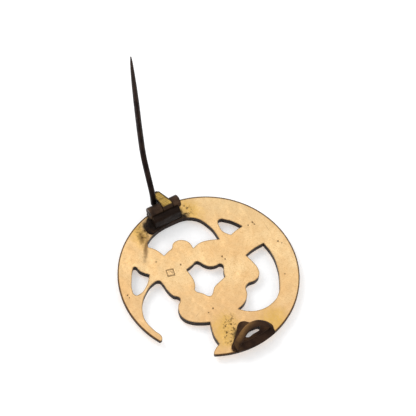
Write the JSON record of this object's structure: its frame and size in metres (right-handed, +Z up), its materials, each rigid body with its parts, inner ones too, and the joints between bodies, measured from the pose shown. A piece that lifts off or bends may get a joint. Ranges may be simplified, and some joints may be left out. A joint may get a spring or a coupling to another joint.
{
  "type": "openwork crescent brooch",
  "caption": "Openwork metal brooch, face down: pierced crescent and trefoil plate with a riveted hinge, a long pin standing open and a broad hook catch.",
  "frame": {"origin": "on the surface the brooch lies on, under the middle of its bounding box", "axes": "+Z up, out of the brooch's back; +X along the hinge axis; +Y from the plate outwards past the hinge"},
  "size_m": [0.0272, 0.0376, 0.0297],
  "materials": {
    "gilt_brass": "satin gilt, worn",
    "tarnished_brass": "dark brown tarnish",
    "filed_brass": "filed, lightly tarnished",
    "darkened_steel": "blackened wire",
    "blackened_solder": "blackened solder"
  },
  "bodies": {
    "brooch": {"openwork_plate": "gilt_brass", "hinge_solder": "blackened_solder", "hinge_bearer": "tarnished_brass", "hinge_knuckle_left": "tarnished_brass", "hinge_knuckle_right": "tarnished_brass", "hinge_rivet": "tarnished_brass", "catch_foot": "tarnished_brass", "catch_hook": "tarnished_brass"},
    "pin": {"pin_root": "filed_brass", "pin_stem": "darkened_steel"}
  },
  "joints": [
    {"name": "pin_hinge", "type": "hinge", "parent": "brooch", "child": "pin", "pos_m": [-0.00025, 0.00773, 0.00325], "axis": [1, 0, 0], "range_deg": [0, 107]}
  ]
}
